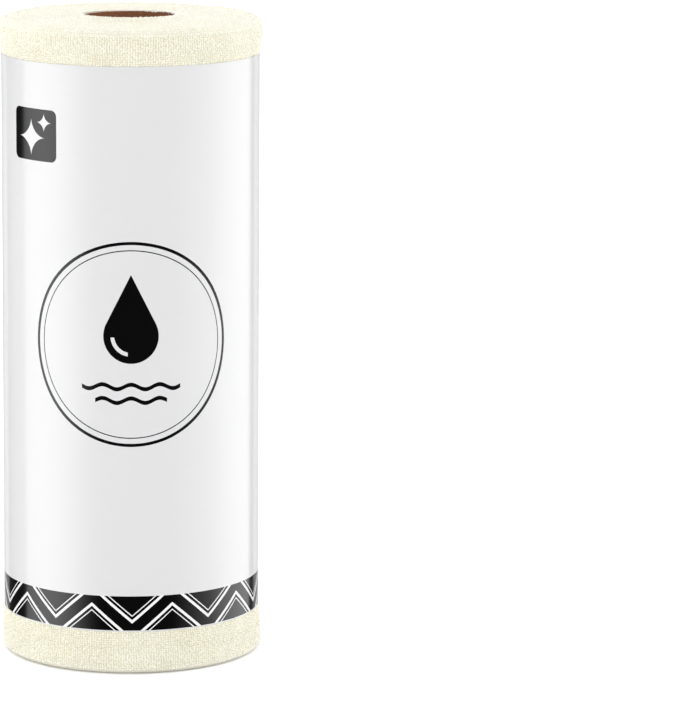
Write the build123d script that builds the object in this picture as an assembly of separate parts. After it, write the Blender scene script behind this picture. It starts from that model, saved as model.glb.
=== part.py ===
import math
import os

from build123d import *

# Microfiber cloth roll: a web of terry cloth wound on a cardboard core, gripped by a paper sleeve.
# It stands on its end, axis on +Z, front on -Y. Lengths in mm, angles in degrees.

# cloth
cloth_width = 305.0  # height of the roll
cloth_thickness = 1.6  # one turn, as wound
turn_depth = 0.7  # furrow between two turns on the top end
sheet_length = 305.0  # tail to the first tear line
tail_angle = 45.0  # where the tail, the free outer end of the web, lies round from +X
tail_spring = 1.8  # outside of the tail past the sleeve
top_spring = 2.2  # most that the bare top band springs out past the sleeve
base_spring = 1.0  # most that the bare base band does
rim_round = 4.5  # rounding of the top rim
rim_lift_share = 0.25  # share of the rounding that lies past the end, so that the rim meets it at a slope
foot_bevel = 4.0  # height of the rim that the roll stands on, which its weight presses to two bevels
foot_share = 0.4  # share of the foot's height and width that its lower and upper bevel take

# slits of the tear line
slit_length = 4.0
slit_bridge = 1.6  # cloth left between two slits
slit_width = 0.5
slit_depth_share = 0.8  # share of the outer turn

# core
bore_radius = 22.0
core_wall = 0.8
core_recess = 1.0  # core end below the cloth end

# sleeve
sleeve_radius = 61.2  # outside of the paper
paper_thickness = 0.2
sleeve_ease = 0.1  # air between the paper and the cloth it grips
base_band = 20.6  # bare cloth below the sleeve
top_band = 17.0  # bare cloth above it
lap_width = 20.0
lap_angle = 100.0  # middle of the glued lap, round from +X

core_radius = bore_radius + core_wall
paper_radius = sleeve_radius - paper_thickness
grip_radius = paper_radius - sleeve_ease
sleeve_top = cloth_width - top_band
tail_radius = sleeve_radius + tail_spring
top_radius = sleeve_radius + top_spring
base_radius = sleeve_radius + base_spring
half_pitch = cloth_thickness / 2
quarter_pitch = cloth_thickness / 4


def wound_half(axis_x, outer_radius, sweep):
    """Half a revolution of all the turns about one of the winding's two axes."""
    turns = math.ceil((outer_radius - core_radius) / cloth_thickness) + 1
    inner_radius = outer_radius - turns * cloth_thickness
    furrow = cloth_width - turn_depth
    crest = []
    for turn in range(turns):
        edge = outer_radius - turn * cloth_thickness
        crest.append((axis_x + edge, furrow))
        crest.append((axis_x + edge - half_pitch, cloth_width))
    crest.append((axis_x + inner_radius, furrow))
    outline = crest + [(axis_x + inner_radius, 0), (axis_x + outer_radius, 0)]
    section = Plane.XZ * make_face(Polyline(*outline, close=True))
    return revolve(section, Axis((axis_x, 0, 0), (0, 0, 1)), sweep)


def soft_envelope():
    """Outer form that the core, the foot, the sleeve and the top rim give to the winding."""
    lift = rim_round * rim_lift_share
    rim_in = top_radius - rim_round
    foot_in = base_radius - foot_bevel
    foot_step = foot_bevel * foot_share
    wall = Polyline(
        (core_radius, -foot_bevel),
        (foot_in - foot_bevel, -foot_bevel),
        (foot_in, 0),
        (base_radius - foot_step, foot_step),
        (base_radius, foot_bevel),
        (grip_radius, base_band),
        (grip_radius, sleeve_top),
        (top_radius, cloth_width + lift - rim_round),
    )
    rim = TangentArc(wall @ 1, (rim_in, cloth_width + lift), tangent=(0, 1))
    bore = Polyline(rim @ 1, (core_radius, cloth_width + lift), (core_radius, -foot_bevel))
    section = Plane.XZ * make_face([wall, rim, bore])
    return revolve(section, Axis.Z)


def tear_slits():
    """Slits through the outer turn, one sheet back from the tail, where the sleeve leaves it bare."""
    pitch = slit_length + slit_bridge
    outer_turn = 2 * math.pi * tail_radius
    turn_share = sheet_length / outer_turn
    row_angle = tail_angle - 360 * turn_share
    floor_radius = tail_radius - cloth_thickness * (turn_share + slit_depth_share)
    reach = top_radius - floor_radius + cloth_thickness
    slit = Box(reach, slit_width, slit_length, align=(Align.MIN, Align.CENTER, Align.CENTER))
    slits = []
    for low, high in ((foot_bevel, base_band), (sleeve_top, cloth_width - rim_round)):
        count = int((high - low) // pitch)
        first = (low + high - (count - 1) * pitch) / 2
        for number in range(count):
            slits.append(Rot(0, 0, row_angle) * Pos(floor_radius, 0, first + number * pitch) * slit)
    return slits


# A spiral from half turns on two axes, half a turn's thickness apart.
first_radius = tail_radius - half_pitch - quarter_pitch
back = wound_half(-quarter_pitch, first_radius, 180)
front = wound_half(quarter_pitch, first_radius + half_pitch, -180)
winding = (back + front) & soft_envelope()
cloth_roll = Rot(0, 0, tail_angle) * winding - tear_slits()

core_length = cloth_width - 2 * core_recess
core_ring = Circle(core_radius) - Circle(bore_radius)
core_tube = Pos(0, 0, core_recess) * extrude(core_ring, core_length)

lap_reach = 2 * sleeve_radius
lap_spread = lap_reach * math.tan(lap_width / sleeve_radius / 2)
lap_wedge = make_face(Polyline((0, 0), (lap_reach, -lap_spread), (lap_reach, lap_spread), close=True))
lap = Circle(sleeve_radius + paper_thickness) & lap_wedge
band = Circle(sleeve_radius) + lap - Circle(paper_radius)
label_sleeve = Pos(0, 0, base_band) * Rot(0, 0, lap_angle) * extrude(band, sleeve_top - base_band)

os.makedirs("parts", exist_ok=True)
export_step(cloth_roll, "parts/cloth_roll.step")
export_step(core_tube, "parts/core_tube.step")
export_step(label_sleeve, "parts/label_sleeve.step")
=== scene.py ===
import math

import bpy
from mathutils import Matrix, Vector


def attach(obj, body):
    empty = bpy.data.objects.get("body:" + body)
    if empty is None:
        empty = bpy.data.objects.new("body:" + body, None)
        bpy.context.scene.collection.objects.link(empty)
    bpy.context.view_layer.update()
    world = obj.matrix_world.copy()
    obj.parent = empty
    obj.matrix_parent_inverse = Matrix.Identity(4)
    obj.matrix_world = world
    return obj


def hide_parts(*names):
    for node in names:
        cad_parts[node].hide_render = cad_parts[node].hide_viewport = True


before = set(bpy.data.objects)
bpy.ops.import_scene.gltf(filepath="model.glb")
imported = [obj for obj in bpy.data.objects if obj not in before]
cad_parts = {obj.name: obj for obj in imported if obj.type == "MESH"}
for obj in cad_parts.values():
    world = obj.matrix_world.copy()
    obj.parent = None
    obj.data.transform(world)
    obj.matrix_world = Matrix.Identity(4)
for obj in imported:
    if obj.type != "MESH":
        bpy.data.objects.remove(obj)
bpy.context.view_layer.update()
turn = 2 * math.pi


# helpers for node trees: geometry and shader trees take the same calls

def feed(tree, socket, value):
    if isinstance(value, bpy.types.NodeSocket):
        tree.links.new(value, socket)
    else:
        socket.default_value = value


def place(tree, kind, inputs=None, **settings):
    node = tree.nodes.new(kind)
    for name, value in settings.items():
        setattr(node, name, value)
    for key, value in (inputs or {}).items():
        feed(tree, node.inputs[key], value)
    return node


def calc(tree, operation, *values):
    return place(tree, "ShaderNodeMath", dict(enumerate(values)), operation=operation).outputs[0]


def times(tree, first, *others):
    for other in others:
        first = calc(tree, "MULTIPLY", first, other)
    return first


def apart(tree, first, second):
    return calc(tree, "ABSOLUTE", calc(tree, "SUBTRACT", first, second))


def ramp(tree, value, fromLow, fromHigh, toLow=0.0, toHigh=1.0, ease="SMOOTHSTEP"):
    return place(tree, "ShaderNodeMapRange", {
        "Value": value, "From Min": fromLow, "From Max": fromHigh, "To Min": toLow, "To Max": toHigh,
    }, interpolation_type=ease).outputs["Result"]


def split(tree, point):
    return place(tree, "ShaderNodeSeparateXYZ", {0: point}).outputs


def joined(tree, **axes):
    return place(tree, "ShaderNodeCombineXYZ", axes).outputs[0]


def lengthOf(tree, vector):
    return place(tree, "ShaderNodeVectorMath", {0: vector}, operation="LENGTH").outputs["Value"]


def scaled(tree, vector, amount):
    return place(tree, "ShaderNodeVectorMath", {0: vector, "Scale": amount}, operation="SCALE").outputs[0]


def objectSpot(tree):
    return place(tree, "ShaderNodeTexCoord").outputs["Object"]


def position(tree):
    return place(tree, "GeometryNodeInputPosition").outputs[0]


def socketsOf(tree, inputs, outputs):
    for name, kind, value in inputs:
        socket = tree.interface.new_socket(name, in_out="INPUT", socket_type=kind)
        if value is not None:
            socket.default_value = value
    for name, kind in outputs:
        tree.interface.new_socket(name, in_out="OUTPUT", socket_type=kind)
    return tree.nodes.new("NodeGroupInput").outputs, tree.nodes.new("NodeGroupOutput").inputs


def geometryTree(name, inputs):
    tree = bpy.data.node_groups.new(name, "GeometryNodeTree")
    given, result = socketsOf(tree, inputs, [("Geometry", "NodeSocketGeometry")])
    return tree, given, result["Geometry"]


def dress(tree, geometry, cloth, result):
    dressed = place(tree, "GeometryNodeSetMaterial", {"Geometry": geometry, "Material": cloth})
    feed(tree, result, dressed.outputs[0])


# helpers for pieces

def addPiece(name, mesh):
    piece = bpy.data.objects.new(name, mesh)
    bpy.context.collection.objects.link(piece)
    print(name, "faces", len(mesh.polygons))
    return piece


def meshFromTree(name, tree, values):
    holder = bpy.data.objects.new(name + "Maker", bpy.data.meshes.new(name + "Maker"))
    bpy.context.collection.objects.link(holder)
    modifier = holder.modifiers.new("nodes", "NODES")
    modifier.node_group = tree
    for entry in tree.interface.items_tree:
        if entry.in_out == "INPUT" and entry.name in values:
            modifier[entry.identifier] = values[entry.name]
    bpy.context.view_layer.update()
    seen = holder.evaluated_get(bpy.context.evaluated_depsgraph_get())
    mesh = bpy.data.meshes.new_from_object(seen)
    holder.modifiers.remove(modifier)
    bpy.data.objects.remove(holder)
    if mesh.materials[0] is None:  # empty slot that comes with a realized instance
        mesh.materials.pop(index=0)
    mesh.name = name
    return addPiece(name, mesh)


def meshPiece(name, points, faces, surface):
    mesh = bpy.data.meshes.new(name)
    mesh.from_pydata(points, [], faces)
    mesh.materials.append(surface)
    mesh.update()
    return addPiece(name, mesh)


def shadeWithEdges(piece, sharpDegrees=40):
    piece.data.shade_smooth()
    piece.data.set_sharp_from_angle(angle=math.radians(sharpDegrees))


# sizes that the pieces share, as in the part's source
roll = {
    "width": 0.305,
    "pitch": 0.0016,  # one turn of cloth
    "coreOuter": 0.0228,
    "coreBore": 0.0220,
    "tailRadius": 0.063,
    "tailAngle": math.radians(45),
    "gripRadius": 0.0609,  # cloth under the sleeve
    "sleeveLow": 0.0206,
    "sleeveHigh": 0.288,
    "rimRound": 0.0045,
    "sheetLength": 0.305,
}


# materials

def material(name):
    made = bpy.data.materials.new(name)
    made.use_nodes = True
    return made, made.node_tree, made.node_tree.nodes["Principled BSDF"]


def setInputs(shader, values):
    for name, value in values.items():
        shader.inputs[name].default_value = value


def variationGroup():
    # slow colour drift plus fine grain, both as values round 0.5
    tree = bpy.data.node_groups.new("softVariation", "ShaderNodeTree")
    given, result = socketsOf(tree, [
        ("Drift Scale", "NodeSocketFloat", 40.0),
        ("Drift Detail", "NodeSocketFloat", 2.0),
        ("Grain Scale", "NodeSocketFloat", 900.0),
        ("Grain Detail", "NodeSocketFloat", 3.0),
        ("Grain Roughness", "NodeSocketFloat", 0.65),
    ], [("Drift", "NodeSocketFloat"), ("Grain", "NodeSocketFloat")])
    spot = objectSpot(tree)
    drift = place(tree, "ShaderNodeTexNoise", {
        "Vector": spot, "Scale": given["Drift Scale"], "Detail": given["Drift Detail"]})
    grain = place(tree, "ShaderNodeTexNoise", {
        "Vector": spot, "Scale": given["Grain Scale"], "Detail": given["Grain Detail"],
        "Roughness": given["Grain Roughness"]})
    feed(tree, result["Drift"], drift.outputs["Fac"])
    feed(tree, result["Grain"], grain.outputs["Fac"])
    return tree


softVariation = variationGroup()


def variation(tree, inputs):
    return place(tree, "ShaderNodeGroup", inputs, node_tree=softVariation).outputs


def blend(tree, factor, low, high):
    # a mix node's colour sockets
    return place(tree, "ShaderNodeMix", {0: factor, 6: low, 7: high}, data_type="RGBA").outputs[2]


def tinted(tree, look, pale, deep):
    # colour that wanders between pale and deep, and the grain it wanders by
    varied = variation(tree, {"Drift Scale": look["drift"], "Grain Scale": look["grain"]})
    mixed = calc(tree, "MULTIPLY_ADD", varied["Grain"], look["grainShare"],
                 times(tree, varied["Drift"], look["driftShare"]))
    return blend(tree, ramp(tree, mixed, *look["tintRange"]), deep, pale), varied["Grain"]


def addBump(tree, shader, height, look):
    bump = place(tree, "ShaderNodeBump", {
        "Height": height, "Strength": look["bump"], "Distance": look["bumpDepth"]})
    feed(tree, shader.inputs["Normal"], bump.outputs["Normal"])


clothLook = {
    "loops": ((0.985, 0.972, 0.868, 1), (0.950, 0.930, 0.800, 1)),  # pale and deep
    # ground: the web under the loops, painted darker to stand for the shade in the gaps between loops
    "ground": ((0.840, 0.808, 0.650, 1), (0.735, 0.698, 0.520, 1)),
    "paintedEdgeLight": (0.990, 0.980, 0.935, 1),  # painted light: the web is painted paler towards its edges, standing for the bright light on the top end; the foot gets it too
    "paintedLightShare": (0.65, 0.25),  # of that colour in the loops and in the ground
    "paintedLightReach": (0.0045, 0.001),  # from the web's edge: where it begins and where it is full
    "drift": 55.0,
    "grain": 1500.0,
    "driftShare": 0.35,
    "grainShare": 0.75,
    "tintRange": (0.3, 0.75),
    "bump": 0.35,
    "bumpDepth": 0.0004,
    "finish": {"Roughness": 0.95, "Specular IOR Level": 0.15, "Sheen Weight": 0.25, "Sheen Roughness": 0.5},
}


def terryCloth(name, pale, deep, paintedLightShare):
    made, tree, shader = material(name)
    webColour, grain = tinted(tree, clothLook, pale, deep)
    half = roll["width"] / 2
    begins, full = (half - reach for reach in clothLook["paintedLightReach"])
    # painted light: mixes towards a paler colour near the top and the foot of the web
    fromMiddle = apart(tree, split(tree, objectSpot(tree))["Z"], half)
    paintedEdgeLight = ramp(tree, fromMiddle, begins, full, 0.0, paintedLightShare)
    feed(tree, shader.inputs["Base Color"], blend(tree, paintedEdgeLight, webColour, clothLook["paintedEdgeLight"]))
    addBump(tree, shader, grain, clothLook)
    setInputs(shader, clothLook["finish"])
    return made


boardLook = {
    "pale": (0.375, 0.168, 0.087, 1),
    "deep": (0.240, 0.100, 0.050, 1),
    "drift": 70.0,
    "grain": 1100.0,
    "driftShare": 0.4,
    "grainShare": 0.6,
    "tintRange": (0.3, 0.7),
    "bump": 0.3,
    "bumpDepth": 0.0002,
    "finish": {"Roughness": 0.85, "Specular IOR Level": 0.3},
}


def coreBoard():
    made, tree, shader = material("coreBoard")
    colour, grain = tinted(tree, boardLook, boardLook["pale"], boardLook["deep"])
    feed(tree, shader.inputs["Base Color"], colour)
    addBump(tree, shader, grain, boardLook)
    setInputs(shader, boardLook["finish"])
    return made


sleeve = {
    "radius": 0.0612,
    "thickness": 0.0002,
    "lap": 0.020,
    "lapMiddle": math.radians(100),
    "lapEase": 1.02,  # rise on to the start, in thicknesses
    "steps": 420,
    "climb": 0.003,  # length over which the end rises on to the start
    "curl": (0.007, 0.0004),  # the free end lifts: over this length, by this much
}

sleeveLook = {
    "paper": (0.812, 0.812, 0.817, 1),
    "lineWhite": (0.96, 0.96, 0.96, 1),  # the zigzag's lines
    "ink": (0.002, 0.002, 0.0025, 1),
    "bandLow": 0.0212,  # zigzag band, above a hair of bare paper
    "bandHigh": 0.03775,
    "periods": 10,
    "bandShift": 0.0003,
    "thickLine": (0.207, 0.307),  # shares of the band's height, from the zigzag's middle
    "thinLine": (0.403, 0.439),
    "emblemHeight": 0.158,
    "outerRing": (0.0470, 0.0485),
    "innerRing": (0.0441, 0.0446),
    "dropRadius": 0.0130,
    "dropRise": 0.0290,  # round belly's middle to the tip
    "dropLift": 0.0040,  # belly's middle above the emblem's middle
    "glintRing": (0.60, 0.74),  # shares of the drop's radius
    "glintAside": 0.12,  # it stays this far left of the drop's middle, and this far below it
    "glintBelow": 0.05,
    "waves": ((-0.0200, 0.0235), (-0.0265, 0.0170)),  # height off the emblem's middle and half width
    "waveRise": 0.0011,
    "wavePeriod": 0.0134,
    "waveHalf": 0.0010,
    "badge": (-0.0508, 0.2540),
    "badgeHalf": (0.0142, 0.0122),
    "badgeRound": 0.003,
    "sparkles": ((-0.0016, -0.0012, 0.0088), (0.0068, 0.0060, 0.0044)),  # off the badge's middle, and reach
    "sparklePower": 0.6,  # 1 is a diamond, less is more pinched
    "bareEdge": 0.0016,  # no ink along the strip's outer end
    "drift": 9.0,
    "driftRange": (0.3, 0.7),
    "roughness": (0.13, 0.17),
    "bump": 0.05,
    "bumpDepth": 0.0005,
    "finish": {"IOR": 1.5, "Diffuse Roughness": 1.0},  # coated paper
}


def between(tree, value, low, high):
    return times(tree, calc(tree, "GREATER_THAN", value, low), calc(tree, "LESS_THAN", value, high))


def anyOf(tree, first, *others):
    for other in others:
        first = calc(tree, "MAXIMUM", first, other)
    return first


def without(tree, first, second):
    return times(tree, first, calc(tree, "SUBTRACT", 1.0, second))


def distance(tree, across, up, middleX, middleY):
    return place(tree, "ShaderNodeVectorMath", {
        0: joined(tree, X=across, Y=up), 1: (middleX, middleY, 0)}, operation="DISTANCE").outputs["Value"]


def roundedPlate(tree, across, up, middle, half, corner):
    # distance past a rounded rectangle's inner box, compared with its corner radius
    past = []
    for value, centre, reach in zip((across, up), middle, half):
        beyond = calc(tree, "SUBTRACT", apart(tree, value, centre), reach - corner)
        past.append(calc(tree, "MAXIMUM", beyond, 0.0))
    return calc(tree, "LESS_THAN", distance(tree, *past, 0, 0), corner)


def zigzagBand(tree, across, up):
    # dark band round the sleeve: its ink, and the lines left bare in it
    look = sleeveLook
    rise = look["bandHigh"] - look["bandLow"]
    bandUp = calc(tree, "DIVIDE", calc(tree, "SUBTRACT", up, look["bandLow"]), rise)
    inBand = between(tree, bandUp, 0.0, 1.0)
    halfPeriod = turn * sleeve["radius"] / look["periods"] / 2
    shifted = calc(tree, "SUBTRACT", across, look["bandShift"])
    zigzag = calc(tree, "DIVIDE", calc(tree, "PINGPONG", shifted, halfPeriod), halfPeriod)
    gap = apart(tree, bandUp, zigzag)
    lines = anyOf(tree, between(tree, gap, *look["thickLine"]), between(tree, gap, *look["thinLine"]))
    return without(tree, inBand, lines), times(tree, inBand, lines)


def emblem(tree, across, up):
    # two rings round a drop with a glint in it, and two waves below the drop
    look, size = sleeveLook, sleeveLook["dropRadius"]
    fromMiddle = distance(tree, across, up, 0.0, look["emblemHeight"])
    ink = anyOf(tree, between(tree, fromMiddle, *look["outerRing"]),
                between(tree, fromMiddle, *look["innerRing"]))

    belly = look["emblemHeight"] + look["dropLift"]
    slope = math.asin(size / look["dropRise"])
    fromBelly = distance(tree, across, up, 0.0, belly)
    fromAxis = calc(tree, "ABSOLUTE", across)
    taper = times(tree, calc(tree, "SUBTRACT", belly + look["dropRise"], up), math.tan(slope))
    cone = times(tree, calc(tree, "LESS_THAN", fromAxis, taper),
                 calc(tree, "GREATER_THAN", up, belly + size * math.sin(slope)))
    drop = anyOf(tree, calc(tree, "LESS_THAN", fromBelly, size), cone)
    glint = times(tree, between(tree, fromBelly, *(size * share for share in look["glintRing"])),
                  calc(tree, "LESS_THAN", across, -size * look["glintAside"]),
                  calc(tree, "LESS_THAN", up, belly - size * look["glintBelow"]))
    ink = anyOf(tree, ink, without(tree, drop, glint))

    phase = times(tree, across, turn / look["wavePeriod"])
    swell = times(tree, calc(tree, "COSINE", phase), look["waveRise"])
    for height, half in look["waves"]:
        off = apart(tree, calc(tree, "SUBTRACT", up, look["emblemHeight"] + height), swell)
        wave = times(tree, calc(tree, "LESS_THAN", off, look["waveHalf"]),
                     calc(tree, "LESS_THAN", fromAxis, half))
        ink = anyOf(tree, ink, wave)
    return ink


def badge(tree, across, up):
    # dark plate with two sparkles left bare in it
    look, power = sleeveLook, sleeveLook["sparklePower"]
    middleX, middleY = look["badge"]
    ink = roundedPlate(tree, across, up, look["badge"], look["badgeHalf"], look["badgeRound"])
    for offX, offY, reach in look["sparkles"]:
        armX = calc(tree, "POWER", apart(tree, across, middleX + offX), power)
        armY = calc(tree, "POWER", apart(tree, up, middleY + offY), power)
        ink = without(tree, ink, calc(tree, "LESS_THAN", calc(tree, "ADD", armX, armY), reach ** power))
    return ink


def sleeveRun():
    # where the strip begins and ends, along its length from the middle of the front
    start = (sleeve["lapMiddle"] + math.pi / 2 - turn) * sleeve["radius"] - sleeve["lap"] / 2
    return start, start + turn * sleeve["radius"] + sleeve["lap"]


def sleevePrint():
    made, tree, shader = material("printedPaper")
    look = sleeveLook
    flat = split(tree, place(tree, "ShaderNodeUVMap", uv_map="flat").outputs[0])
    across, up = flat["X"], flat["Y"]
    band, bandLines = zigzagBand(tree, across, up)
    inked = calc(tree, "LESS_THAN", across, sleeveRun()[1] - look["bareEdge"])
    printed = times(tree, anyOf(tree, band, emblem(tree, across, up), badge(tree, across, up)), inked)
    ground = blend(tree, bandLines, look["paper"], look["lineWhite"])
    feed(tree, shader.inputs["Base Color"], blend(tree, printed, ground, look["ink"]))
    drift = variation(tree, {"Drift Scale": look["drift"]})["Drift"]
    feed(tree, shader.inputs["Roughness"], ramp(tree, drift, *look["driftRange"], *look["roughness"]))
    addBump(tree, shader, drift, look)
    setInputs(shader, look["finish"])
    return made


loopCloth = terryCloth("loopCloth", *clothLook["loops"], clothLook["paintedLightShare"][0])
# the web under the loops gets the darker colour: painted shade between the loops
gapShadeCloth = terryCloth("gapShadeCloth", *clothLook["ground"], clothLook["paintedLightShare"][1])
board = coreBoard()
paper = sleevePrint()
print("materials done")


# the wound cloth

def outerRadius(tree, share):
    # of the last turn, by the share of a turn past the tail
    return calc(tree, "MULTIPLY_ADD", share, roll["pitch"], roll["tailRadius"] - roll["pitch"])


def rollFormGroup():
    # squeezes the turns under the sleeve and lowers their edges at both rims
    tree = bpy.data.node_groups.new("rollForm", "GeometryNodeTree")
    given, result = socketsOf(tree, [
        ("Point", "NodeSocketVector", None),
        ("Base Grip", "NodeSocketFloat", 0.4),  # how far the foot is held in, 0 free to 1 tight
        ("Top Grip", "NodeSocketFloat", 0.25),
        ("Spring Height", "NodeSocketFloat", 0.010),  # height over which the cloth springs out
        ("Rim Limit", "NodeSocketFloat", 0.96),  # share of a quarter round that a rim turns through
        ("Foot Share", "NodeSocketFloat", 0.8),  # the foot's rounding beside the top rim's
        ("Inner Lip", "NodeSocketFloat", 0.0017),  # the first turns stand up round the core
        ("Lip Width", "NodeSocketFloat", 0.0075),
        ("Least Radius", "NodeSocketFloat", roll["coreOuter"]),
    ], [("Point", "NodeSocketVector")])
    inner, rim, width = roll["coreOuter"], roll["rimRound"], roll["width"]
    axes = split(tree, given["Point"])
    radius = lengthOf(tree, joined(tree, X=axes["X"], Y=axes["Y"]))
    angle = calc(tree, "ARCTAN2", axes["Y"], axes["X"])
    pastTail = calc(tree, "DIVIDE", calc(tree, "SUBTRACT", angle, roll["tailAngle"]), turn)
    outer = outerRadius(tree, calc(tree, "FRACT", pastTail))

    low, high = roll["sleeveLow"], roll["sleeveHigh"]
    springLow = calc(tree, "SUBTRACT", low, given["Spring Height"])
    springHigh = calc(tree, "ADD", high, given["Spring Height"])
    held = calc(tree, "MINIMUM", ramp(tree, axes["Z"], springLow, low, given["Base Grip"], 1.0),
                ramp(tree, axes["Z"], high, springHigh, 1.0, given["Top Grip"]))
    tight = calc(tree, "DIVIDE", roll["gripRadius"] - inner, calc(tree, "SUBTRACT", outer, inner))
    squeeze = calc(tree, "MULTIPLY_ADD", held, calc(tree, "SUBTRACT", tight, 1.0), 1.0)
    newRadius = calc(tree, "MULTIPLY_ADD", calc(tree, "SUBTRACT", radius, inner), squeeze, inner)
    newRadius = calc(tree, "MAXIMUM", newRadius, given["Least Radius"])  # first turn, pressed on the core

    past = calc(tree, "DIVIDE", calc(tree, "SUBTRACT", newRadius, calc(tree, "SUBTRACT", outer, rim)), rim)
    past = calc(tree, "MINIMUM", calc(tree, "MAXIMUM", past, 0.0), given["Rim Limit"])
    level = calc(tree, "SQRT", calc(tree, "SUBTRACT", 1.0, times(tree, past, past)))
    lower = times(tree, calc(tree, "SUBTRACT", 1.0, level), rim)
    fade = 3 * rim  # height over which the rounding dies out
    atTop = ramp(tree, axes["Z"], width - fade, width)
    atBase = ramp(tree, axes["Z"], fade, 0.0)
    height = calc(tree, "SUBTRACT", axes["Z"], times(tree, lower, atTop))
    height = calc(tree, "ADD", height, times(tree, lower, given["Foot Share"], atBase))
    lipEnd = calc(tree, "ADD", given["Lip Width"], inner)
    lip = times(tree, ramp(tree, newRadius, lipEnd, inner, 0.0, given["Inner Lip"]), atTop)
    leaning = calc(tree, "MULTIPLY_ADD", calc(tree, "SINE", angle), -0.5, 0.5)  # 1 in front, 0 behind
    height = calc(tree, "MULTIPLY_ADD", lip, leaning, height)

    scale = calc(tree, "DIVIDE", newRadius, radius)
    moved = joined(tree, X=times(tree, axes["X"], scale), Y=times(tree, axes["Y"], scale), Z=height)
    feed(tree, result["Point"], moved)
    return tree


rollForm = rollFormGroup()


def formed(tree, point, leastRadius=roll["coreOuter"]):
    return place(tree, "GeometryNodeGroup", {"Point": point, "Least Radius": leastRadius},
                 node_tree=rollForm).outputs["Point"]


web = {
    "stepsPerTurn": 84,
    "thickness": 0.00157,
    "edgeRound": 0.0004,
    # points over an edge: shares of the half thickness and of edgeRound
    "edgePoints": (
        (-1.0, 1.0), (-0.8, 0.55), (-0.42, 0.14), (0.0, 0.0), (0.42, 0.14), (0.8, 0.55), (1.0, 1.0)),
    # heights of the points between, close together where the sleeve begins and ends
    "sidePoints": (0.297, 0.2925, 0.289, 0.2865, 0.282, 0.026, 0.022, 0.0195, 0.0155, 0.010, 0.005),
    "firstTurn": 0.9,  # it thickens from next to nothing, so that no gap is left round the core
    "unevenness": 0.0007,  # turns stand this much higher or lower at the top end
    "unevenReach": 0.012,  # depth below the top that moves with them
    "unevenScale": 230.0,
    "unevenDetail": 2.0,
    "unevenMiddle": 0.62,  # noise value that leaves a turn where it is
    "seed": 3.0,
}


def clothSection():
    # outline of the web, edge on
    half, width, edge = web["thickness"] / 2, roll["width"], web["edgeRound"]
    points = [(half * side, width - edge * sink) for side, sink in web["edgePoints"]]
    points += [(half, height) for height in web["sidePoints"]]
    points += [(half * side, edge * sink) for side, sink in reversed(web["edgePoints"])]
    points += [(-half, height) for height in reversed(web["sidePoints"])]
    curve = bpy.data.curves.new("clothSection", "CURVE")
    curve.dimensions = "3D"
    spline = curve.splines.new("POLY")
    spline.points.add(len(points) - 1)
    for point, (side, height) in zip(spline.points, points):
        point.co = (side, -height, 0, 1)  # the sweep hangs it the other way up
    spline.use_cyclic_u = True
    section = bpy.data.objects.new("clothSection", curve)
    bpy.context.collection.objects.link(section)
    return section


def spiralPath(tree, turns, start, end, steps):
    spiral = place(tree, "GeometryNodeCurveSpiral", {
        "Resolution": steps, "Rotations": turns, "Start Radius": start, "End Radius": end,
        "Height": 0.0, "Reverse": True})
    ending = times(tree, turns, turn)  # it starts on +X
    rotation = joined(tree, Z=calc(tree, "SUBTRACT", roll["tailAngle"], ending))
    return place(tree, "GeometryNodeTransform", {
        "Geometry": spiral.outputs[0], "Rotation": rotation}).outputs[0]


def woundWebTree():
    tree, given, result = geometryTree("woundWeb", [
        ("Section", "NodeSocketObject", None),
        ("Turns", "NodeSocketFloat", 24.0),
        ("Start Radius", "NodeSocketFloat", 0.02),
        ("End Radius", "NodeSocketFloat", 0.06),
        ("Steps per Turn", "NodeSocketInt", 84),
        ("Unevenness", "NodeSocketFloat", 0.0005),
        ("Seed", "NodeSocketFloat", 0.0),
        ("Cloth", "NodeSocketMaterial", None),
    ])
    path = spiralPath(tree, given["Turns"], given["Start Radius"], given["End Radius"],
                      given["Steps per Turn"])
    upright = place(tree, "GeometryNodeSetCurveNormal", {"Curve": path}, mode="Z_UP")
    section = place(tree, "GeometryNodeObjectInfo", {"Object": given["Section"]})
    swept = place(tree, "GeometryNodeCurveToMesh", {
        "Curve": upright.outputs[0], "Profile Curve": section.outputs["Geometry"], "Fill Caps": True})
    settled = place(tree, "GeometryNodeSetPosition", {
        "Geometry": swept.outputs[0], "Position": formed(tree, position(tree))})

    # some turns stand a little proud of their neighbours
    after = position(tree)
    nearTop = ramp(tree, split(tree, after)["Z"], roll["width"] - web["unevenReach"], roll["width"])
    noise = place(tree, "ShaderNodeTexNoise", {
        "Vector": after, "W": given["Seed"], "Scale": web["unevenScale"], "Detail": web["unevenDetail"],
    }, noise_dimensions="4D")
    swing = calc(tree, "SUBTRACT", noise.outputs["Fac"], web["unevenMiddle"])
    offset = joined(tree, Z=times(tree, swing, given["Unevenness"], nearTop))
    uneven = place(tree, "GeometryNodeSetPosition", {"Geometry": settled.outputs[0], "Offset": offset})
    smooth = place(tree, "GeometryNodeSetShadeSmooth", {0: uneven.outputs[0]})
    real = place(tree, "GeometryNodeRealizeInstances", {"Geometry": smooth.outputs[0]})
    dress(tree, real.outputs[0], given["Cloth"], result)
    return tree


webSection = clothSection()
middleStart = roll["coreOuter"] + roll["pitch"] * (0.5 - web["firstTurn"])
middleEnd = roll["tailRadius"] - roll["pitch"] / 2
woundCloth = meshFromTree("wound_cloth", woundWebTree(), {
    "Section": webSection,
    "Turns": (middleEnd - middleStart) / roll["pitch"],
    "Start Radius": middleStart,
    "End Radius": middleEnd,
    "Steps per Turn": web["stepsPerTurn"],
    "Unevenness": web["unevenness"],
    "Seed": web["seed"],
    "Cloth": gapShadeCloth,
})
bpy.data.objects.remove(webSection)


# terry loops

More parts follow.
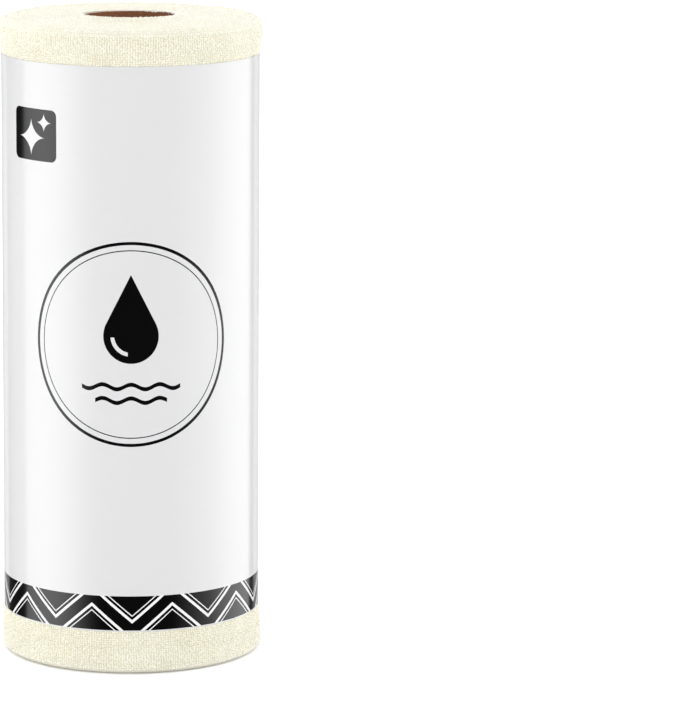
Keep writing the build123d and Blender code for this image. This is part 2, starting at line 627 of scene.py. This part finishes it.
terry = {
    "columnPitch": 0.00120,
    "rowPitch": 0.00105,
    "bandSize": (0.00040, 0.00052, 0.00060),  # half axes: out, along, up
    "rimClear": 0.0004,  # the bands stop short of the top, of the foot and of the sleeve
    "footClear": 0.0007,
    "sleeveClear": 0.0006,
    "tearClear": 0.0007,  # no loops along the tear line
    "endSize": (0.00036, 0.00060, 0.00060),
    "endSpacing": 0.00135,
    "endSpread": 0.00040,  # the two piles of one web, off its middle
    "endDepth": 0.0005,  # below the web's edge
    "pathSteps": 96,  # for each turn
    # loops round the core and leaning over its rim: radius, and how far the ring is off the middle
    "innerRings": ((0.0228, (-0.0003, 0.0002, 0)), (0.0223, (-0.0006, 0.0004, 0))),
    "innerSpacing": 0.0009,
    "scatter": 0.00022,
    "twist": 0.5,  # radians, either way
    "sizeRange": (0.72, 1.18),
    "sizeSeed": 7.0,  # added to a piece's seed
    "seeds": {"terry_top_band": 11, "terry_base_band": 23, "terry_top_end": 37},
}


def scattered(tree, seed, amount):
    node = place(tree, "FunctionNodeRandomValue", {
        0: (-1, -1, -1), 1: (1, 1, 1), "Seed": seed}, data_type="FLOAT_VECTOR")
    return scaled(tree, node.outputs["Value"], amount)


def loopInstances(tree, points, face, size, seed, keep=True):
    bead = place(tree, "GeometryNodeMeshIcoSphere", {"Radius": 1.0, "Subdivisions": 1})
    turned = place(tree, "FunctionNodeAlignRotationToVector", {"Vector": face}, axis="X")
    twist = scattered(tree, seed, terry["twist"])
    spun = place(tree, "FunctionNodeRotateRotation", {
        "Rotation": turned.outputs[0], "Rotate By": twist}, rotation_space="LOCAL")
    least, most = terry["sizeRange"]
    vary = place(tree, "FunctionNodeRandomValue", {
        2: least, 3: most, "Seed": calc(tree, "ADD", seed, terry["sizeSeed"])})
    made = place(tree, "GeometryNodeInstanceOnPoints", {
        "Points": points, "Selection": keep, "Instance": bead.outputs["Mesh"],
        "Rotation": spun.outputs[0], "Scale": scaled(tree, size, vary.outputs[1])})
    real = place(tree, "GeometryNodeRealizeInstances", {"Geometry": made.outputs[0]})
    return place(tree, "GeometryNodeSetShadeSmooth", {0: real.outputs[0]}).outputs[0]


def terryBandTree():
    tree, given, result = geometryTree("terryBand", [
        ("Low", "NodeSocketFloat", 0.0),
        ("High", "NodeSocketFloat", 0.02),
        ("Columns", "NodeSocketInt", 320),
        ("Rows", "NodeSocketInt", 18),
        ("Loop Size", "NodeSocketVector", None),
        ("Scatter", "NodeSocketFloat", 0.0002),
        ("Seed", "NodeSocketInt", 1),
        ("Cloth", "NodeSocketMaterial", None),
    ])
    # a flat grid, bent round the roll from the tail
    grid = place(tree, "GeometryNodeMeshGrid", {
        "Size X": 1.0, "Size Y": 1.0, "Vertices X": given["Columns"], "Vertices Y": given["Rows"]})
    spot = split(tree, position(tree))
    share = calc(tree, "ADD", spot["X"], 0.5)
    angle = calc(tree, "MULTIPLY_ADD", share, turn, roll["tailAngle"])
    radius = outerRadius(tree, share)
    rise = calc(tree, "SUBTRACT", given["High"], given["Low"])
    height = calc(tree, "MULTIPLY_ADD", calc(tree, "ADD", spot["Y"], 0.5), rise, given["Low"])
    point = joined(tree, X=times(tree, radius, calc(tree, "COSINE", angle)),
                   Y=times(tree, radius, calc(tree, "SINE", angle)), Z=height)

    girth = turn * roll["tailRadius"]
    fromTear = times(tree, apart(tree, share, 1.0 - roll["sheetLength"] / girth), girth)
    clear = calc(tree, "GREATER_THAN", fromTear, terry["tearClear"])
    stored = place(tree, "GeometryNodeStoreNamedAttribute", {
        "Geometry": grid.outputs["Mesh"], "Name": "kept", "Value": clear}, data_type="FLOAT", domain="POINT")
    bent = place(tree, "GeometryNodeSetPosition", {
        "Geometry": stored.outputs[0], "Position": formed(tree, point),
        "Offset": scattered(tree, given["Seed"], given["Scatter"])})
    here = split(tree, position(tree))
    outward = joined(tree, X=here["X"], Y=here["Y"])
    kept = place(tree, "GeometryNodeInputNamedAttribute", {"Name": "kept"}, data_type="FLOAT").outputs[0]
    loops = loopInstances(tree, bent.outputs[0], outward, given["Loop Size"], given["Seed"],
                          calc(tree, "GREATER_THAN", kept, 0.5))
    dress(tree, loops, given["Cloth"], result)
    return tree


def terryEndTree():
    tree, given, result = geometryTree("terryEnd", [
        ("Turns", "NodeSocketFloat", 24.0),
        ("Start Radius", "NodeSocketFloat", 0.02),
        ("End Radius", "NodeSocketFloat", 0.06),
        ("Spacing", "NodeSocketFloat", 0.0013),
        ("Spread", "NodeSocketFloat", 0.0004),
        ("Loop Size", "NodeSocketVector", None),
        ("Scatter", "NodeSocketFloat", 0.0002),
        ("Seed", "NodeSocketInt", 1),
        ("Cloth", "NodeSocketMaterial", None),
    ])
    paths = []
    for radius, aside in terry["innerRings"]:
        ring = place(tree, "GeometryNodeCurvePrimitiveCircle", {
            "Resolution": terry["pathSteps"], "Radius": radius})
        leant = place(tree, "GeometryNodeTransform", {"Geometry": ring.outputs[0], "Translation": aside})
        paths.append((leant.outputs[0], terry["innerSpacing"]))
    for side in (-1.0, 1.0):
        aside = times(tree, given["Spread"], side)
        start = calc(tree, "ADD", given["Start Radius"], aside)
        end = calc(tree, "ADD", given["End Radius"], aside)
        paths.append((spiralPath(tree, given["Turns"], start, end, terry["pathSteps"]), given["Spacing"]))
    join = place(tree, "GeometryNodeJoinGeometry")
    for path, spacing in paths:
        points = place(tree, "GeometryNodeCurveToPoints", {"Curve": path, "Length": spacing}, mode="LENGTH")
        feed(tree, join.inputs[0], points.outputs[0])

    spot = split(tree, position(tree))
    top = joined(tree, X=spot["X"], Y=spot["Y"], Z=roll["width"] - terry["endDepth"])
    bent = place(tree, "GeometryNodeSetPosition", {
        "Geometry": join.outputs[0], "Position": formed(tree, top, 0.0),
        "Offset": scattered(tree, given["Seed"], given["Scatter"])})
    loops = loopInstances(tree, bent.outputs[0], (0, 0, 1), given["Loop Size"], given["Seed"])
    dress(tree, loops, given["Cloth"], result)
    return tree


bandTree = terryBandTree()
bandEnds = {
    "terry_top_band": (roll["sleeveHigh"] + terry["sleeveClear"], roll["width"] - terry["rimClear"]),
    "terry_base_band": (terry["footClear"], roll["sleeveLow"] - terry["sleeveClear"]),
}
loopBands = []
for name, (low, high) in bandEnds.items():
    loopBands.append(meshFromTree(name, bandTree, {
        "Low": low,
        "High": high,
        "Columns": round(turn * roll["tailRadius"] / terry["columnPitch"]),
        "Rows": round((high - low) / terry["rowPitch"]) + 1,
        "Loop Size": terry["bandSize"],
        "Scatter": terry["scatter"],
        "Seed": terry["seeds"][name],
        "Cloth": loopCloth,
    }))

endStart = roll["coreOuter"] + roll["pitch"] / 2
loopEnd = meshFromTree("terry_top_end", terryEndTree(), {
    "Turns": (middleEnd - endStart) / roll["pitch"],
    "Start Radius": endStart,
    "End Radius": middleEnd,
    "Spacing": terry["endSpacing"],
    "Spread": terry["endSpread"],
    "Loop Size": terry["endSize"],
    "Scatter": terry["scatter"],
    "Seed": terry["seeds"]["terry_top_end"],
    "Cloth": loopCloth,
})


# the core: board strip wound on the slant, its joint a fine groove

core = {
    "low": 0.001,
    "high": 0.3045,
    "columns": 96,
    "levels": 40,
    "seamRise": 0.105,  # height that the joint climbs in one turn
    "seamDepth": 0.00025,
    "clear": 0.00003,  # to the cloth
}


def woundCore():
    points, faces = [], []
    columnCount, levelCount = core["columns"], core["levels"]
    walls = ((roll["coreBore"], core["seamDepth"]), (roll["coreOuter"] - core["clear"], 0))
    for radius, grooveDepth in walls:
        for level in range(levelCount + 1):
            height = core["low"] + (core["high"] - core["low"]) * level / levelCount
            for column in range(columnCount):
                angle = turn * (column / columnCount + height / core["seamRise"])
                reach = radius + grooveDepth * (column == 0)
                points.append((reach * math.cos(angle), reach * math.sin(angle), height))
    outside = columnCount * (levelCount + 1)  # first point of the outer wall
    for level in range(levelCount):
        for column in range(columnCount):
            here = level * columnCount + column
            beside = level * columnCount + (column + 1) % columnCount
            above, aboveBeside = here + columnCount, beside + columnCount
            faces.append((here, above, aboveBeside, beside))
            faces.append((outside + here, outside + beside, outside + aboveBeside, outside + above))
    top = levelCount * columnCount
    for column in range(columnCount):
        after = (column + 1) % columnCount
        faces.append((column, after, outside + after, outside + column))
        faces.append((top + column, outside + top + column, outside + top + after, top + after))
    piece = meshPiece("wound_core", points, faces, board)
    shadeWithEdges(piece)
    return piece


coreTube = woundCore()


# the sleeve: one strip of paper that laps over its own start at the back

def paperSleeve():
    points, faces, flat = [], [], []
    radius, wall, steps = sleeve["radius"], sleeve["thickness"], sleeve["steps"]
    start, end = sleeveRun()
    low, high = roll["sleeveLow"], roll["sleeveHigh"]
    curlLength, curlRise = sleeve["curl"]
    for step in range(steps + 1):
        across = start + (end - start) * step / steps
        angle = across / radius - math.pi / 2
        climbed = min(1.0, max(0.0, (across - start - turn * radius) / sleeve["climb"] + 1.0))
        curled = max(0.0, (across - end) / curlLength + 1.0)
        lift = wall * sleeve["lapEase"] * climbed * climbed * (3 - 2 * climbed) + curlRise * curled * curled
        for depth, height in ((0, low), (0, high), (-wall, high), (-wall, low)):
            reach = radius + lift + depth
            points.append((reach * math.cos(angle), reach * math.sin(angle), height))
            flat.append((across, height))
    for step in range(steps):
        here, after = 4 * step, 4 * step + 4
        for corner in range(4):
            other = (corner + 1) % 4
            faces.append((here + corner, after + corner, after + other, here + other))
    last = 4 * steps
    faces.append((0, 1, 2, 3))
    faces.append((last + 3, last + 2, last + 1, last))
    piece = meshPiece("paper_sleeve", points, faces, paper)
    layer = piece.data.uv_layers.new(name="flat")
    for loop in piece.data.loops:
        layer.data[loop.index].uv = flat[loop.vertex_index]
    shadeWithEdges(piece)
    return piece


labelSleeve = paperSleeve()


# frame: the pieces ride on the roll, and the CAD parts they take the place of are hidden
for piece in [woundCloth, loopEnd, coreTube, labelSleeve] + loopBands:
    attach(piece, "root")
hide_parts("cloth_roll")
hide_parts("core_tube")
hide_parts("label_sleeve")


# stage, light and camera

studio = {
    "stageFinish": {
        "Base Color": (0.86, 0.86, 0.86, 1),
        "Roughness": 0.9,
        "Specular IOR Level": 0.0,
        "Emission Color": (1, 1, 1, 1),
    },
    "floorSize": 9.0,
    "floorGlow": (0.20, 1.0),  # by the roll and far off, so that the floor reads white
    "glowReach": (0.3, 3.0),
    "wallGlow": (1.0, 1.0),
    "wallRadius": 4.4,
    "wallHeight": 6.0,
    "wallSides": 48,
    "worldLevel": 0.05,
    # the two panels seen in the paper's gloss: distance, and height of foot and head
    "panelAway": 1.3,
    "panelSpan": (-0.50, 0.25),
    # bearings of a panel's far end and near end, and its brightness from one to the other
    "panels": {
        "leftPanel": (-108, -24, (
            (0.0, 1.15), (0.2, 2.15), (0.42, 2.7), (0.6, 1.95), (0.75, 0.75), (0.88, 0.1), (1.0, 0.0))),
        "rightPanel": (132, 38, (
            (0.0, 1.3), (0.2, 1.95), (0.4, 2.2), (0.6, 1.15), (0.8, 0.45), (1.0, 0.0))),
    },
    # name: bearing, distance, height, width and height of the panel, brightness, the light it gives
    "fills": {
        "topFill": (0, 0.0, 2.6, (5.0, 5.0), 1.20, "matt"),
        "frontFill": (0, 2.0, 0.8, (2.4, 2.4), 1.43, "matt"),
        "leftFill": (-90, 1.5, 0.8, (1.6, 1.0), 0.74, "matt"),
        "rightFill": (90, 1.5, 0.8, (1.6, 1.0), 1.03, "matt"),
        "leftBackFill": (-130, 1.5, 0.8, (1.6, 1.0), 2.0, "matt"),
        "rightBackFill": (130, 1.5, 0.8, (1.6, 1.0), 1.40, "matt"),
        "backGlow": (180, 1.95, 0.5, (3.0, 2.6), 0.60, "gloss"),
    },
}


def bearing(degrees, away):
    # degrees round from the camera's side, plus to the right
    angle = math.radians(degrees)
    return Vector((away * math.sin(angle), -away * math.cos(angle), 0))


def paleStage(name, points, faces, glowNear, glowFar):
    # pale matt surface that the camera sees as white, and that keeps the roll's shadow
    made, tree, shader = material(name + "Paint")
    setInputs(shader, studio["stageFinish"])
    path = place(tree, "ShaderNodeLightPath").outputs
    seen = anyOf(tree, path["Is Camera Ray"], path["Is Glossy Ray"], path["Is Transmission Ray"])
    glow = ramp(tree, lengthOf(tree, objectSpot(tree)), *studio["glowReach"], glowNear, glowFar, "LINEAR")
    feed(tree, shader.inputs["Emission Strength"], times(tree, seen, glow))
    made.cycles.emission_sampling = "NONE"
    piece = meshPiece(name, points, faces, made)
    piece.visible_glossy = False  # the paper's gloss shows the side panels, which reach below the floor
    return piece


def paleFloor():
    half = studio["floorSize"] / 2
    corners = [(-half, -half, 0), (half, -half, 0), (half, half, 0), (-half, half, 0)]
    paleStage("floor", corners, [(0, 1, 2, 3)], *studio["floorGlow"])


def paleWall():
    # round the floor, for views that look along it
    sides, points, faces = studio["wallSides"], [], []
    for side in range(sides):
        spot = bearing(360 * side / sides, studio["wallRadius"])
        points += [(spot.x, spot.y, 0), (spot.x, spot.y, studio["wallHeight"])]
        here, after = 2 * side, 2 * ((side + 1) % sides)
        faces.append((here, here + 1, after + 1, after))
    wall = paleStage("wall", points, faces, *studio["wallGlow"])
    wall.visible_diffuse = False
    wall.visible_shadow = False


def areaPanel(name, size, level, matrix):
    light = bpy.data.lights.new(name, "AREA")
    light.shape = "RECTANGLE"
    light.size, light.size_y = size
    light.energy = level * math.pi * light.size * light.size_y
    panel = bpy.data.objects.new(name, light)
    panel.matrix_world = matrix
    panel.visible_camera = False
    bpy.context.collection.objects.link(panel)
    return panel


def softPanel(name, farBearing, nearBearing, levels):
    # upright panel beside the roll, its brightness set along its width
    far, near = bearing(farBearing, studio["panelAway"]), bearing(nearBearing, studio["panelAway"])
    foot, head = studio["panelSpan"]
    up = Vector((0, 0, 1))
    middle = (far + near) / 2 + up * (foot + head) / 2
    back = Vector((middle.x, middle.y, 0)).normalized()  # lamps shine along -Z
    along = up.cross(back)
    facing = Matrix((along, up, back)).transposed().to_4x4()
    panel = areaPanel(name, ((near - far).length, head - foot), 1.0, Matrix.Translation(middle) @ facing)
    panel.data.use_nodes = True
    tree = panel.data.node_tree
    spread = split(tree, place(tree, "ShaderNodeNewGeometry").outputs["Parametric"])["X"]
    if along.dot(near - far) < 0:
        spread = calc(tree, "SUBTRACT", 1.0, spread)
    most = max(level for share, level in levels)
    curve = place(tree, "ShaderNodeFloatCurve", {"Value": spread})
    points = curve.mapping.curves[0].points
    for share, level in levels[1:-1]:
        points.new(share, level / most)
    for end in (0, len(levels) - 1):
        share, level = levels[end]
        points[end].location = (share, level / most)
    curve.mapping.update()
    feed(tree, tree.nodes["Emission"].inputs["Strength"], times(tree, curve.outputs[0], most))


def fillPanel(name, location, size, level, gives):
    # broad soft light turned to the roll's middle
    aim = Vector((0, 0, roll["width"] / 2)) - location
    facing = aim.to_track_quat("-Z", "Y").to_matrix().to_4x4()
    panel = areaPanel(name, size, level, Matrix.Translation(location) @ facing)
    panel.visible_diffuse = gives == "matt"
    panel.visible_glossy = gives == "gloss"


paleFloor()
paleWall()
for name, (farBearing, nearBearing, levels) in studio["panels"].items():
    softPanel(name, farBearing, nearBearing, levels)
for name, (degrees, away, height, size, level, gives) in studio["fills"].items():
    fillPanel(name, bearing(degrees, away) + Vector((0, 0, height)), size, level, gives)
world = bpy.data.worlds.new("studioWorld")
world.use_nodes = True
setInputs(world.node_tree.nodes["Background"], {"Color": (1, 1, 1, 1), "Strength": studio["worldLevel"]})
bpy.context.scene.world = world
print("lights done")

view = {
    "away": 2.1669,
    "height": 0.5501,
    "yaw": math.radians(2.640),
    "pitch": math.radians(10.642),
    "roll": math.radians(0.393),
    "lens": 234.57,
    "sensor": 36,
    "clipEnd": 50,
}


def photoCamera():
    yaw, pitch = view["yaw"], view["pitch"]
    ahead = Vector((math.sin(yaw) * math.cos(pitch), math.cos(yaw) * math.cos(pitch), -math.sin(pitch)))
    side = Vector((math.cos(yaw), -math.sin(yaw), 0))
    above = side.cross(ahead)
    lean = Matrix.Rotation(-view["roll"], 3, ahead)
    axes = Matrix((lean @ side, lean @ above, -ahead)).transposed()
    lens = bpy.data.cameras.new("photoCamera")
    lens.lens = view["lens"]
    lens.sensor_width = view["sensor"]
    lens.clip_end = view["clipEnd"]
    camera = bpy.data.objects.new("photoCamera", lens)
    camera.matrix_world = Matrix.Translation((0, -view["away"], view["height"])) @ axes.to_4x4()
    bpy.context.collection.objects.link(camera)
    bpy.context.scene.camera = camera


photoCamera()
bpy.context.scene.view_settings.view_transform = "Standard"
print("camera done")
